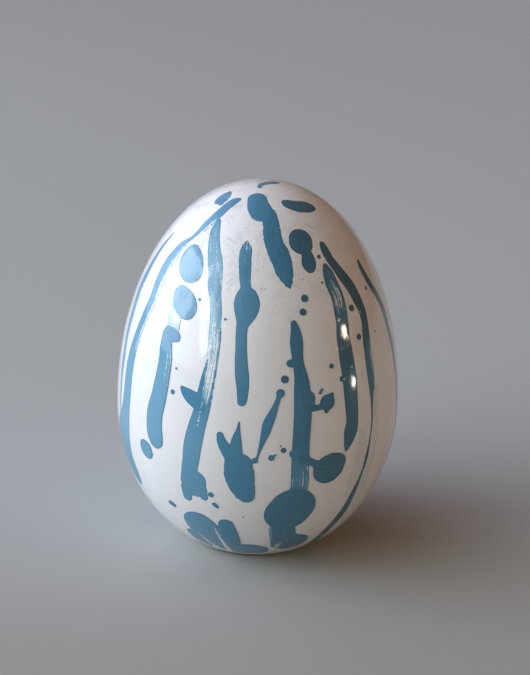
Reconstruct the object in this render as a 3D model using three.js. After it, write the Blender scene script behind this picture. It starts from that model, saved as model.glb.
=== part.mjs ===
// A decorated slip-cast egg that stands on its wide end, in millimetres, +Z up.
// The origin is on the egg's axis, in the plane that it stands on.
import * as THREE from 'three';

// Driving sizes. Heights are above the ceramic foot's own plane, which FELT_PROUD lifts off the table.
const EGG_HEIGHT = 100;
const EGG_DIAMETER = 76.4;
const WIDEST_HEIGHT = 39.2;
const FOOT_RADIUS = 17;
const WALL = 4;
const FOOT_THICKNESS = 5.8;
const FOOT_RIM = 3;
const RECESS_DEPTH = 1.8;
const VENT_RADIUS = 5;
const FLANGE_OVERHANG = 3;
const FLANGE_THICKNESS = 1.1;
const LIP_OVERHANG = 0.8;
const LIP_HEIGHT = 2.4;
const FELT_PROUD = 0.4;

// Clearances between neighbouring pieces.
const SEAT_GAP = 0.3;
const FELT_SIDE_GAP = 0.6;

// How square the egg's outline is: 2 is an ellipse, and more is fuller.
const UPPER_FULLNESS = 2.11;
const LOWER_FULLNESS = 2.27;

// How finely the round shapes are divided.
const TURN_STEPS = 60;
const UPPER_STEPS = 16;
const LOWER_STEPS = 12;

const QUARTER_TURN = Math.PI / 2;
const eggRadius = EGG_DIAMETER / 2;
const recessRadius = FOOT_RADIUS - FOOT_RIM;
const flangeRadius = VENT_RADIUS + FLANGE_OVERHANG;

// One quarter of the outline, from angle 0 at the widest ring: reach is its height, negative for downwards.
function quarterOutline(reach, fullness, lastAngle, steps) {
  return Array.from({ length: steps + 1 }, (_, step) => {
    const angle = (lastAngle * step) / steps;
    const r = eggRadius * Math.cos(angle) ** (2 / fullness);
    return new THREE.Vector2(r, WIDEST_HEIGHT + reach * Math.sin(angle));
  });
}

// The outside of the egg, from the edge of its foot up to the crown on the axis.
function outsideOutline() {
  const footShare = (FOOT_RADIUS / eggRadius) ** LOWER_FULLNESS;
  const footAngle = Math.acos(Math.sqrt(footShare));
  const lowerReach = WIDEST_HEIGHT / Math.sin(footAngle);
  const lower = quarterOutline(-lowerReach, LOWER_FULLNESS, footAngle, LOWER_STEPS);
  const upper = quarterOutline(EGG_HEIGHT - WIDEST_HEIGHT, UPPER_FULLNESS, QUARTER_TURN, UPPER_STEPS);
  const outline = [...lower.reverse(), ...upper.slice(1)];
  outline.at(-1).x = 0;
  return outline;
}

// The same outline moved inwards by the wall, square to the surface, and cut off at the cavity's floor.
function cavityOutline(outside) {
  const inset = outside.map((point, i) => {
    const before = outside[Math.max(i - 1, 0)];
    const after = outside[Math.min(i + 1, outside.length - 1)];
    const along = after.clone().sub(before).normalize();
    return new THREE.Vector2(point.x - along.y * WALL, point.y + along.x * WALL);
  });
  inset.at(-1).set(0, EGG_HEIGHT - WALL);
  const firstAbove = inset.findIndex((point) => point.y > FOOT_THICKNESS);
  const above = inset[firstAbove];
  const below = inset[firstAbove - 1];
  const share = (FOOT_THICKNESS - below.y) / (above.y - below.y);
  const corner = below.clone().lerp(above, share);
  return [corner, ...inset.slice(firstAbove)];
}

// Turns an outline about the egg's axis into a closed solid. An outline runs up the solid's outside,
// and down any inside, so that the faces point outwards.
function turned(outline) {
  const lathe = new THREE.LatheGeometry(outline, TURN_STEPS);
  return lathe.rotateX(QUARTER_TURN);
}

function points(pairs) {
  return pairs.map(([r, height]) => new THREE.Vector2(r, height));
}

// The hollow egg: down the cavity and the vent, across the recess and the foot, and up the outside.
function ceramicBody() {
  const outside = outsideOutline();
  const cavity = cavityOutline(outside).reverse();
  const ventAndRecess = points([
    [VENT_RADIUS, FOOT_THICKNESS],
    [VENT_RADIUS, RECESS_DEPTH],
    [recessRadius, RECESS_DEPTH],
    [recessRadius, 0],
  ]);
  return turned([...cavity, ...ventAndRecess, ...outside]);
}

// The soft bung: a flange in the recess, a neck through the vent and a lip that holds it inside.
function ventStopper() {
  const neckRadius = VENT_RADIUS - SEAT_GAP;
  const flangeTop = RECESS_DEPTH - SEAT_GAP;
  const lipBottom = FOOT_THICKNESS + SEAT_GAP;
  return turned(points([
    [0, flangeTop - FLANGE_THICKNESS],
    [flangeRadius, flangeTop - FLANGE_THICKNESS],
    [flangeRadius, flangeTop],
    [neckRadius, flangeTop],
    [neckRadius, lipBottom],
    [VENT_RADIUS + LIP_OVERHANG, lipBottom],
    [neckRadius - LIP_OVERHANG, lipBottom + LIP_HEIGHT],
    [0, lipBottom + LIP_HEIGHT],
  ]));
}

// The felt ring between the stopper's flange and the recess's wall, a little proud of the foot.
function feltRing() {
  const inner = flangeRadius + FELT_SIDE_GAP;
  const outer = recessRadius - FELT_SIDE_GAP;
  const top = RECESS_DEPTH - SEAT_GAP;
  return turned(points([
    [inner, -FELT_PROUD],
    [outer, -FELT_PROUD],
    [outer, top],
    [inner, top],
    [inner, -FELT_PROUD],
  ]));
}

function piece(name, geometry, color, roughness) {
  const material = new THREE.MeshStandardMaterial({ color, roughness, metalness: 0 });
  const mesh = new THREE.Mesh(geometry, material);
  mesh.name = name;
  return mesh;
}

const egg = new THREE.Group();
egg.position.z = FELT_PROUD;
egg.add(piece('ceramic_body', ceramicBody(), '#d6d8da', 0.12));
egg.add(piece('vent_stopper', ventStopper(), '#c9c4b8', 0.6));
egg.add(piece('felt_ring', feltRing(), '#6b6f73', 0.95));

const model = new THREE.Group();
model.add(egg);

export default model;
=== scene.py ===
import math
import random
from collections import namedtuple

import bmesh
import bpy
import numpy as np
from bpy.props import FloatProperty, FloatVectorProperty, IntProperty, PointerProperty
from mathutils import Matrix, Vector, noise


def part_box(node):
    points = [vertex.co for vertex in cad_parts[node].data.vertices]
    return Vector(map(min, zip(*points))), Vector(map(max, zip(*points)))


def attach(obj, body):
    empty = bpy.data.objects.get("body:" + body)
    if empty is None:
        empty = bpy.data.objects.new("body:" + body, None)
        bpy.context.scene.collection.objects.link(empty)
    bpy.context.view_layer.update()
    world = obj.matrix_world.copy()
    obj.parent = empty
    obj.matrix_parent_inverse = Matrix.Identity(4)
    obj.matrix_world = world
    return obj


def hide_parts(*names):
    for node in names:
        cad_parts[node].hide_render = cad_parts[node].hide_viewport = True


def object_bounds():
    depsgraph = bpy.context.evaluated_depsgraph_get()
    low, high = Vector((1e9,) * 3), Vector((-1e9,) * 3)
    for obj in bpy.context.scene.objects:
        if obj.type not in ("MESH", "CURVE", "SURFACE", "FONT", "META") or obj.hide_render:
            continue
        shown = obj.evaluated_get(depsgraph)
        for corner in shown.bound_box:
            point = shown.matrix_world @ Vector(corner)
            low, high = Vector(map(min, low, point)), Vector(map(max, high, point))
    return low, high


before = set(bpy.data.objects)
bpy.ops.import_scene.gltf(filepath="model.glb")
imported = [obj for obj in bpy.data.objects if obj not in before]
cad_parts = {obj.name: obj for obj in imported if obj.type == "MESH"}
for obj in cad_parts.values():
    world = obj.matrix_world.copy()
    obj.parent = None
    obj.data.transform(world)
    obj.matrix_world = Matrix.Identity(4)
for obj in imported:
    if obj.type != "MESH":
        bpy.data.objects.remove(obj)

bl_info = {
    "name": "Hand-painted ceramic egg",
    "version": (1, 0, 0),
    "blender": (4, 5, 0),
    "location": "3D View > Sidebar > Painted egg",
    "description": "Finishes a glazed ceramic egg with blue brushwork, its stopper and its felt",
    "category": "Add Mesh",
}

MM = 0.001
CAD_LOW, CAD_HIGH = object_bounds()
BODY_LOW, BODY_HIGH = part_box("ceramic_body")
FELT_LOW, FELT_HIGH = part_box("felt_ring")
STOPPER_LOW, STOPPER_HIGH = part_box("vent_stopper")


# Sizes and colours that a user would change.


def length(name, description, millimetres):
    return FloatProperty(name=name, description=description, default=millimetres * MM, unit="LENGTH")


def colour(name, description, red, green, blue):
    return FloatVectorProperty(
        name=name, description=description, default=(red, green, blue), subtype="COLOR", min=0, max=1)


class EggShape(bpy.types.PropertyGroup):
    """The ceramic egg's outline and wall."""

    widest_height: length("Widest height", "Height of the widest ring above the foot", 39.2)
    upper_fullness: FloatProperty(
        name="Upper fullness", description="2 is an ellipse, and more is fuller", default=2.11)
    lower_fullness: FloatProperty(
        name="Lower fullness", description="2 is an ellipse, and more is fuller", default=2.27)
    foot_radius: length("Foot radius", "Radius of the flat foot", 17)
    recess_radius: length("Recess radius", "Radius of the recess for the felt", 14)
    recess_depth: length("Recess depth", "Depth of the recess for the felt", 1.8)
    vent_radius: length("Vent radius", "Radius of the drain hole", 5)
    wall: length("Wall", "Thickness of the cast wall", 4)
    floor_thickness: length("Floor thickness", "From the foot's plane up to the cavity", 5.8)
    edge_fillet: length("Edge fillet", "Rounding of the foot's and the vent's edges", 0.45)
    turn_steps: IntProperty(name="Turn steps", description="Divisions round the egg", default=300)
    row_step: length("Row step", "Height of a row of faces on the outside", 0.7)
    waviness: length("Waviness", "Height of the brushed ground's soft swells", 0.035)


class Brushwork(bpy.types.PropertyGroup):
    """The blue paint and the white ground that it is on."""

    deep_blue: colour("Deep blue", "Paint that covers fully", 0.060, 0.220, 0.350)
    # Slate blue is painted shade: paint turns to it where its load is above 1, and the strokes on the egg's
    # right side are given such loads.
    shaded_slate_blue: colour("Slate blue", "Paint laid twice", 0.050, 0.115, 0.150)
    ground_white: colour("Ground white", "The brushed ground", 0.80, 0.795, 0.78)
    bare_clay: colour("Bare clay", "The unglazed inside", 0.62, 0.58, 0.52)
    thickness: length("Paint thickness", "How far full paint stands proud", 0.045)
    skirt: length("Paint skirt", "How deep the paint's edge goes into the glaze", 0.12)
    rim_width: length("Rim width", "Width of the rounded edge of the paint", 0.4)
    grid_step: length("Grid step", "Face size of the paint", 0.27)
    dot_step: length("Dot step", "Face size of the splatter", 0.14)
    join_radius: length("Join radius", "How softly strokes run together", 0.35)


class Studio(bpy.types.PropertyGroup):
    """The floor, the lights and the camera."""

    # The floor runs from the near colour to the far one: the darker, warmer near floor is painted shade and
    # the lighter far floor painted light.
    shaded_floor_near: colour("Near floor", "Colour of the floor in front of the egg", 0.36, 0.345, 0.32)
    lit_floor_far: colour("Far floor", "Colour of the floor behind the egg", 0.443, 0.464, 0.444)
    elevation: FloatProperty(
        name="Camera elevation", description="Above the horizon", default=math.radians(20), subtype="ANGLE")
    roll: FloatProperty(
        name="Camera roll", description="About the view line", default=math.radians(1.8), subtype="ANGLE")
    distance: length("Camera distance", "From the point that it looks at", 546.2)
    lens: FloatProperty(name="Lens", description="Focal length in mm", default=108)
    aim_right: length("Aim to the right", "Of the egg's axis", 1.5)
    aim_height: length("Aim height", "Above the table", 57)
    window_radiance: FloatProperty(name="Window", description="Radiance of the window panes", default=4.3)
    lamp_radiance: FloatProperty(name="Lamps", description="Radiance of the two small lamps", default=60)
    ambient: colour("Ambient", "Radiance of the room's dark side", 0.02, 0.006, 0.0)


SETTINGS = {"egg_shape": EggShape, "egg_brushwork": Brushwork, "egg_studio": Studio}


# Strokes of the brush. A point is (longitude in degrees from the front, height in mm, half-width in mm).
# Then perhaps how much paint is there (0 bare, 1 covered), and how dry the brush ran there (0 to 1).
# This amount also paints light and shade: above 1 it darkens the paint towards slate, as painted shade
# on the strokes of the right side, and the lower amounts of the left strokes pale them, partly thin paint
# and partly painted light. Strokes in one list join into a film, and each lies over those before it.


Stroke = namedtuple("Stroke", "points dry_side ragged")


def stroke(*points, load_and_shade=1.0, dry=0.0, dry_side=0, ragged=0.03):
    """A stroke; dry_side says where dryness tells: -1 left, 1 right, 0 all over. ragged is in mm.

    load and dry hold for the points that don't say their own.
    """
    rest = (load_and_shade, dry)
    return Stroke([(*point, *rest[len(point) - 3:]) for point in points], dry_side, ragged)


def dot(longitude, height, radius, load_and_shade=1.0):
    return stroke((longitude, height, radius), (longitude, height - 0.02, radius), load_and_shade=load_and_shade)


def left_marks():
    """The long stroke and the edge stroke round the left side, with their small dab and oval."""
    # Loads below 1 make these strokes paler: partly thin, dry paint, and partly painted light on the egg's
    # bright left side.
    return {
        "crown_dab_left": [
            stroke((-64.4, 98.6, 0.5), (-60, 98, 1.6), (-57.6, 97.3, 2), load_and_shade=0.92, ragged=0.1),
            stroke((-58.6, 97, 1.4), (-59.8, 96.4, 0.4), ragged=0.12),
            stroke((-54, 97, 1.3), (-51, 96.5, 0.45), ragged=0.12)],
        "long_left_stroke": [
            stroke(
                (-34.9, 98.0, 0.8), (-38.7, 97.6, 1.3), (-41, 96.6, 1.4), (-42.9, 95.2, 1.5),
                (-44.8, 93.5, 1.5, 0.88, 0.7), (-47.1, 91.7, 1.35, 0.78, 0.85), (-49.2, 90, 1, 0.86, 0.85),
                (-51.9, 88.3, 1, 0.86, 0.85), (-55.6, 86.4, 1.7, 0.8, 0.85), (-57.3, 84.3, 2.1, 0.8, 0.8),
                (-58.9, 81.9, 2.2, 0.8, 0.85), (-59.6, 79.1, 2.2, 0.8, 0.85), (-59.4, 76.2, 2.1, 0.78, 0.85),
                (-59.2, 73, 1.95, 0.78, 0.8), (-60.2, 69.6, 1.85, 0.78, 0.8),
                (-61.8, 65.1, 1.95, 0.78, 0.85), (-63.6, 60.5, 2, 0.76, 0.6), (-64.9, 56, 2.15, 0.74, 0.3),
                (-65.1, 51.7, 2.3, 0.72), (-65, 46.4, 2.4, 0.72), (-65.7, 41.5, 2.7, 0.7),
                (-67.4, 37.4, 3.7, 0.7), (-69.6, 33.8, 4.8, 0.72), (-70.4, 30.8, 5.2, 0.8),
                (-69.2, 27.6, 4.7, 0.82), (-66.6, 24.8, 3.8, 0.85), (-64.4, 22.5, 2.8, 0.85),
                (-63.2, 21, 1.4, 0.9), dry_side=1, ragged=0.1)],
        "left_oval": [
            stroke((-50.3, 34.8, 1.7), (-49.2, 34, 2.3), (-48.2, 33.3, 1.9), load_and_shade=0.78)],
        "edge_stroke_left": [
            stroke(
                (-74.9, 87.6, 0.3), (-76.3, 85, 0.7), (-76.9, 83, 0.85), (-77.5, 80.1, 1.1, 0.85, 0.2),
                (-78, 76.7, 1.4, 0.8, 0.4), (-78, 72.2, 1.7, 0.75, 0.5), (-76.4, 66.8, 1.45, 0.7, 0.5),
                (-75.8, 60.9, 1.35, 0.7, 0.6), (-74.6, 55.6, 1.25, 0.7, 0.6), (-73.8, 50.2, 1, 0.65, 0.5),
                (-73.2, 44.6, 0.7, 0.65, 0.3), (-72.6, 39, 0.3, 0.6, 0.3), dry_side=1, ragged=0.05)],
    }


def left_front_marks():
    """The blobs above the left front stroke, and the forked stroke beside them."""
    # Loads below 1 make these strokes paler: partly thin, dry paint, and partly painted light from the
    # bright left side.
    return {
        "left_blob": [
            stroke((-45.2, 86.1, 2.3), (-43.4, 84.3, 3.7), (-40.4, 82.6, 3.6), (-37, 81.6, 2), load_and_shade=0.88)],
        "left_front_stroke": [
            stroke(
                (-42.3, 74, 1.8, 0.35, 0.3), (-41.6, 71, 2.2, 0.25, 0.6), (-40.6, 68.5, 2, 0.3, 0.5),
                ragged=0.25),
            stroke((-41.4, 76.5, 2.4), (-38.4, 75.1, 3.3), (-35.8, 73.8, 3), (-34.8, 72.9, 2), load_and_shade=0.9),
            stroke(
                (-43, 66.4, 1.6, 0.8), (-42.3, 63.1, 2.05, 0.78, 0.3), (-41.4, 60, 2.2, 0.76, 0.5),
                (-41.5, 56.2, 2.35, 0.74, 0.5), (-41.9, 52.7, 2.5, 0.74, 0.5),
                (-42.8, 48.9, 2.65, 0.74, 0.4), (-44, 45.3, 2.8, 0.74, 0.2), (-44.1, 41.6, 2.85, 0.74),
                (-43.4, 39, 2.75, 0.76), (-42.9, 38, 2.4, 0.8), dry_side=1, ragged=0.06),
            stroke((-43.2, 67.6, 0.9), (-40.2, 66.7, 1.8), (-37.6, 66.2, 1.2), load_and_shade=0.85, ragged=0.14)],
        "forked_stroke": [
            stroke(
                (-38.2, 93.6, 0.7, 0.95), (-36.5, 91.8, 1.35, 0.85, 0.45), (-33.2, 89.6, 1.6, 0.75, 0.5),
                (-30.1, 87.4, 1.8, 0.68, 0.5), (-27, 85.2, 2.05, 0.62, 0.5), (-25.1, 82.9, 2, 0.62, 0.5),
                (-23.6, 80.5, 1.8, 0.64, 0.48), (-22.4, 78, 1.6, 0.64, 0.45), (-20.6, 74.6, 1.6, 0.7, 0.45),
                (-19.7, 69.8, 1.6, 0.6, 0.6), (-19.2, 64.9, 1.65, 0.5, 0.7), (-19.5, 60.8, 1.8, 0.45, 0.8),
                (-20.1, 57.1, 1.9, 0.5, 0.8), (-20.9, 53.3, 2, 0.7, 0.6), (-21.6, 50.3, 2.15, 0.9, 0.2),
                (-22.6, 47.4, 2.3, 0.88), (-24.1, 43.3, 2.5, 0.84), (-25.3, 38.9, 2.6, 0.82),
                (-26, 35, 2.4, 0.84), (-26.9, 31.8, 2.3, 0.85), (-27.5, 28.6, 2.4, 0.85), ragged=0.06),
            stroke(
                (-26, 84, 0.5), (-24.9, 81.4, 1.3), (-22.6, 79.6, 1.2), (-21, 77, 0.5), load_and_shade=0.85, dry=0.2,
                ragged=0.2),
            stroke((-27.5, 81.5, 0.4), (-26, 79.8, 0.8), (-25.2, 78, 0.3), load_and_shade=0.9, ragged=0.1),
            stroke(
                (-21.1, 62.7, 0.12), (-21.6, 61.1, 0.28), (-22.1, 59, 0.45), (-22.6, 56.8, 0.6),
                (-23, 54.7, 0.7), (-23.4, 52.5, 0.9)),
            stroke(
                (-17, 70.5, 0.12), (-16.8, 67.6, 0.2), (-16.9, 65.1, 0.16), (-17.2, 61, 0.22),
                (-17.7, 57.3, 0.2), (-18.2, 53.6, 0.22), (-19, 50.8, 0.3), ragged=0.1),
            stroke(
                (-31.2, 54.2, 0.6), (-29.9, 53.5, 1.15), (-27.5, 52.6, 1.8), (-24.6, 51.6, 2.05),
                (-22.6, 50.4, 1.6)),
            stroke((-24.4, 29.4, 3.1), (-24.8, 27.4, 3.2), load_and_shade=0.85),
            stroke((-29, 26.5, 1.6), (-29, 23.6, 1.35), load_and_shade=0.85),
            stroke((-21.6, 26.8, 1.4), (-21.1, 24.6, 1.1), load_and_shade=0.85),
            stroke(
                (-21.7, 52, 0.08), (-22.4, 49.4, 0.13), (-22.9, 47, 0.06), (-23.3, 44.6, 0.12),
                (-23.5, 43.4, 0.05), load_and_shade=0.4, dry=0.7, ragged=0.3)],
    }


def middle_marks():
    """The knotted stroke, the crown's stroke and dabs, and the eared splash with its drip."""
    return {
        "knotted_stroke": [
            stroke(
                (-10.3, 90.3, 0.5, 1, 0.6), (-9.9, 88.9, 1.45, 1, 0.55), (-9.8, 87.2, 1.65, 1, 0.2),
                (-9.1, 84.9, 1.6), (-8.4, 82.5, 1.45), (-7.6, 80.6, 1.4), (-7.2, 79, 1.5), ragged=0.16),
            stroke(
                (-7.4, 73, 1.6), (-7.7, 70.5, 1.5), (-7.4, 66.9, 1.5), (-7, 63.1, 1.65), (-6.3, 59.4, 1.8),
                (-5.8, 56.5, 1.6), (-5.8, 53.6, 1.3), (-5.9, 53, 1.2)),
            stroke((-6.6, 78.2, 2.9), (-6.3, 76.8, 3.35), (-6.4, 74.9, 2.8), (-7.2, 72.5, 1.7))],
        # Loads above 1 in this group (the crown stroke's 1.08, the right dab's and the drip's 1.3) darken
        # the paint towards slate, as painted shade towards the right side.
        "crown_stroke": [
            stroke(
                (1.3, 97.6, 1.2), (5.2, 96.1, 2), (7, 94.3, 2.1), (7.3, 92.1, 2.35), (8.6, 89.9, 2.5),
                (11, 87.6, 2.7), (12.5, 85.5, 2.5), (13.4, 83.6, 2), (14.2, 81.9, 1.2), (14.9, 80.6, 0.3),
                load_and_shade=1.08, ragged=0.3),
            stroke((-9.5, 98.6, 2.5), (-5.5, 97.3, 2.9), (-2.6, 96.2, 2.7))],
        "crown_curl": [
            stroke(
                (-15.3, 100.1, 0.6), (-17, 100.28, 0.75), (30, 100.38, 1), (90, 100.32, 1.35),
                (99, 100.27, 1.1), (104, 100.15, 0.3), load_and_shade=0.92, ragged=0.1)],
        "crown_dab_right": [
            stroke(
                (28.8, 98, 0.9), (32, 97.6, 1.7), (40.9, 97, 2.1), (51.3, 96.6, 2.1), (58, 96.2, 1.3),
                (61, 96, 0.5), load_and_shade=1.3, ragged=0.1)],
        "round_drip": [
            stroke((27.4, 90.7, 3.2), (26.9, 90.1, 3.25), load_and_shade=1.3),
            stroke((28.9, 88.6, 0.9), (28.7, 87, 1.75), (28.3, 85.6, 2.05), (28.2, 84.7, 1.5), load_and_shade=1.3)],
        "eared_splash": [
            stroke((-14, 43.7, 0.85), (-13.1, 41.7, 1.25), (-11.2, 39.8, 1.6), (-9.3, 38, 1.9)),
            stroke((-6.7, 47.8, 0.12), (-7, 45.4, 0.55), (-7.5, 42.8, 1.25), (-7.7, 39.8, 1.7)),
            stroke(
                (-6.7, 35.9, 3.55), (-6.2, 33.4, 3.9), (-5.5, 30.7, 3.5), (-4.1, 28, 2.85),
                (-3.3, 26.7, 2.1), ragged=0.2),
            stroke((-2.8, 36.2, 0.5), (-1, 37.2, 0.5)),
            dot(-0.2, 37.4, 0.75),
            stroke(
                (8.4, 54.3, 0.6), (7.1, 51.9, 0.75), (5.7, 49.6, 1.15), (4.3, 47.3, 1.3), (3.6, 45.3, 1.15),
                (2.4, 42.6, 0.7), (1.3, 40, 0.35), (0.4, 37.6, 0.25)),
            dot(9.1, 55.4, 1.1)],
    }


def right_marks():
    """The streaky stroke and the two strokes round the right side."""
    # Loads above 1 here darken these strokes towards slate, as painted shade on the egg's right side.
    return {
        "streaky_stroke": [
            stroke(
                (38.4, 84.4, 0.8), (38.6, 82.5, 1.7, 1.1, 0.4), (39.2, 80.2, 1.95, 1.05, 0.62),
                (40.5, 77.2, 2, 1, 0.68), (40.4, 74.5, 2, 1, 0.62), (40.1, 71.5, 2, 1.1, 0.3),
                (39.1, 67.8, 2.15), (39.3, 62.3, 2.35), (40, 56.6, 2.4), (40.2, 51.5, 2.25),
                (40.6, 45.6, 2.1), (39.9, 42.7, 2.3), (38.8, 39.9, 1.5), (37.9, 37.9, 0.6), load_and_shade=1.24),
            stroke(
                (36.6, 83, 0.3), (36, 80.2, 0.4), (37.2, 77.2, 0.42), (37.2, 74.5, 0.4), (37, 71.5, 0.35),
                load_and_shade=1.24),
            stroke((40.9, 82.4, 0.25), (42.2, 79.8, 0.3), (43.4, 77, 0.28), (43.3, 74.3, 0.25), load_and_shade=1.24)],
        "right_long_stroke": [
            stroke(
                (42.5, 89, 0.9), (42.5, 87.6, 1.35), (43.4, 85.6, 1.35), (45.7, 83.4, 1.5), (48, 81.2, 1.7),
                (51.1, 78.2, 1.75), (52.8, 75.1, 1.7), (54, 72.6, 1.5), (54, 69.7, 1.35, 1.25, 0.2),
                (52.9, 65.2, 1.55, 1.2, 0.6), (52.4, 59.6, 1.65, 1.2, 0.65), (52.5, 53.8, 1.35, 1.2, 0.5),
                (52.2, 49.5, 0.6, 1.3, 0.1), (52.1, 44, 0.32), (51.8, 41, 0.3), (51.2, 38.7, 0.28),
                (50.3, 34, 0.56), (48.8, 29.1, 0.7), (47.4, 24.3, 0.95), (46.2, 19.5, 1.3),
                (44.8, 15.5, 1.6), (43, 12.3, 1.6), (41.5, 9, 1.6), (40, 5.5, 1.6), (39, 2.5, 1.5),
                load_and_shade=1.36, dry_side=1, ragged=0.05)],
        "right_wash": [
            stroke(
                (46, 41, 1.2), (46.2, 36, 1.8), (45.5, 31, 2), (44, 26.5, 1.6), (42.8, 22, 0.8), load_and_shade=0.12,
                dry=0.6, ragged=0.4),
            stroke(
                (55.5, 52, 0.8), (55, 44, 1.1), (54, 36, 1.4), (52.6, 28, 1.5), (51, 20, 1.4),
                (49, 13.5, 0.9), load_and_shade=0.14, dry=0.6, ragged=0.4)],
        "edge_stroke_right": [
            stroke(
                (66.6, 82.9, 0.6, 1.2), (66.3, 81.5, 1, 1.2), (67, 79.3, 1.1, 1.2), (68.6, 76.9, 1.2, 1.2),
                (71.6, 73.8, 1.2, 1.2, 0.1), (74, 70.4, 1.3, 1.15, 0.4), (75, 65.8, 1.35, 1.1, 0.5),
                (75.9, 61.2, 1.35, 1.05, 0.55), (77, 56, 1.3, 1, 0.6), (77.6, 50, 1.3, 0.95, 0.6),
                (78.3, 43.6, 1.3, 0.9, 0.6), (78.8, 36, 1.2, 0.8, 0.65), (78.6, 27, 1, 0.7, 0.7),
                (77.5, 19, 0.7, 0.6, 0.7), ragged=0.05)],
    }


def low_marks():
    """The tall branched stroke with its big blob, and the petals and smears round the foot."""
    # The branched stroke's loads above 1 darken it towards slate, as painted shade right of the front; the
    # petals' loads below 1 pale them, partly thin paint and partly painted light from the left.
    return {
        "branched_stroke": [
            stroke(
                (15.4, 72.4, 0.8), (16, 70.5, 1.25), (16.1, 67.9, 1.7), (16.2, 64.8, 1.5),
                (16.7, 62.1, 1.45), (17.6, 58.7, 1.85), (17.9, 55.4, 2.2), (18.1, 50.9, 2.35),
                (17.9, 46.6, 2.35), (17.6, 42.2, 2.3), (17.6, 36.2, 2.35, 0.95, 0.4),
                (17.9, 32.5, 2.4, 0.95, 0.5), (18.1, 29.7, 2.4, 0.95, 0.45), (17, 24, 2.4), load_and_shade=1.13),
            stroke((20.4, 53.7, 1.8), (20.4, 52.6, 1.8), load_and_shade=1.13),
            stroke((13.2, 62.8, 1), (14.6, 62.8, 1), load_and_shade=1.13),
            stroke((20, 51, 0.9), (23, 50.9, 0.78), (25.7, 51, 0.8), (27.5, 51.5, 0.9), load_and_shade=1.24),
            dot(28.6, 51.9, 2.1, load_and_shade=1.24),
            dot(30.5, 53.6, 0.72, load_and_shade=1.24),
            dot(28.1, 49.7, 0.6, load_and_shade=1.24),
            stroke((14.6, 39.1, 1.05), (15.6, 39.1, 1.05)),
            stroke((19, 37.4, 1.4), (21.4, 36.5, 1.05), (23.7, 35.7, 1), (25.5, 34.6, 1.6), load_and_shade=1.13),
            stroke((27.3, 33.3, 2.6), (30.2, 33.4, 4.3), (33, 34.4, 3.2), (34.1, 34.7, 2.6), load_and_shade=1.24),
            stroke(
                (9.4, 15.4, 1.3, 0.75, 0.6), (11.8, 12, 1.8, 0.8, 0.5), (15, 8.2, 2.3, 0.95, 0.2),
                dry_side=-1, ragged=0.2),
            stroke(
                (14, 15.6, 3.2), (15.8, 12, 3.2), (18.6, 9.2, 4.1), (22, 8.7, 4.2), (24.9, 9, 3.1),
                load_and_shade=1.13, ragged=0.06),
            stroke((16.4, 22.5, 6.4), (14.9, 20.9, 6.4), load_and_shade=1.15),
            stroke((10.6, 4.2, 0.2), (12.4, 6.8, 0.3), (14, 9.4, 0.15), load_and_shade=0.1, ragged=0.1),
            stroke((12.6, 4.4, 0.12), (14.2, 6.9, 0.2), (15.4, 9, 0.1), load_and_shade=0.1, ragged=0.1)],
        "foot_petals": [
            stroke((-20.9, 10.4, 2.2), (-20.9, 8, 2.4), (-20.4, 5.4, 1.5), load_and_shade=0.94),
            stroke((-25, 8.2, 2.4), (-22.5, 7, 2), load_and_shade=0.94),
            stroke((-34, 9.4, 2.1), (-32.6, 7.6, 2.4), (-31, 5.7, 2.1), load_and_shade=0.94),
            stroke((-12.6, 16.2, 2.1), (-12.3, 12.8, 2.6), (-11.9, 9.5, 2.6), (-11.4, 7, 2.2)),
            stroke((-10.5, 5.2, 2.6), (-6.5, 5.5, 3.6), (-2, 5.8, 3.7), (2, 5.5, 3.3), (4.4, 5, 2.2)),
            stroke((-26.5, 14.6, 4.7), (-25.6, 13.6, 5), (-24.7, 12.7, 4.7), load_and_shade=0.88),
            stroke(
                (-30, 10.6, 0.1), (-26.8, 7.6, 0.35), (-23.8, 5.4, 0.35), (-20, 3.9, 0.7), (-16, 3.2, 0.5),
                load_and_shade=0.03),
            stroke((-18.8, 14.4, 0.12), (-17.1, 9, 0.4), (-15.8, 5.4, 0.7), (-14.6, 3.4, 0.5), load_and_shade=0.03)],
    }


def front_splatter():
    """Loose drops between the strokes."""
    drops = [
        (36.2, 86.7, 0.57), (21.9, 78, 0.95), (20.2, 74.9, 0.88), (47.1, 73.7, 0.86), (48, 66.4, 0.8),
        (31.3, 61, 0.63), (10.8, 58.9, 1), (36, 57.2, 0.72), (33.2, 81, 0.26), (63, 76.6, 0.5),
        (-30, 76.4, 0.33), (-15.6, 72.9, 0.3), (-35.1, 58.7, 0.3), (-35.5, 52.5, 0.63),
        (-18, 25.9, 0.76), (6.1, 38.2, 0.8), (7.5, 38.9, 0.32), (10.7, 40.2, 0.7), (9.5, 41.4, 0.2),
        (22.6, 82.4, 0.16), (-4.5, 19.5, 0.2), (60, 66, 0.22)]
    ovals = [
        stroke((26.4, 55.5, 0.3), (25.5, 54.7, 0.42)),
        stroke((-15.8, 22.2, 0.5), (-16.9, 22.9, 0.6)),
        stroke((-38.4, 19, 0.75), (-39.8, 19.4, 0.8))]
    # Drops right of 10 degrees get load 1.3, which darkens them to slate as painted shade on the right side.
    dots = [dot(*drop, load_and_shade=1.3 if drop[0] > 10 else 1) for drop in drops]
    return [[mark] for mark in [*dots, *ovals]]


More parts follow.
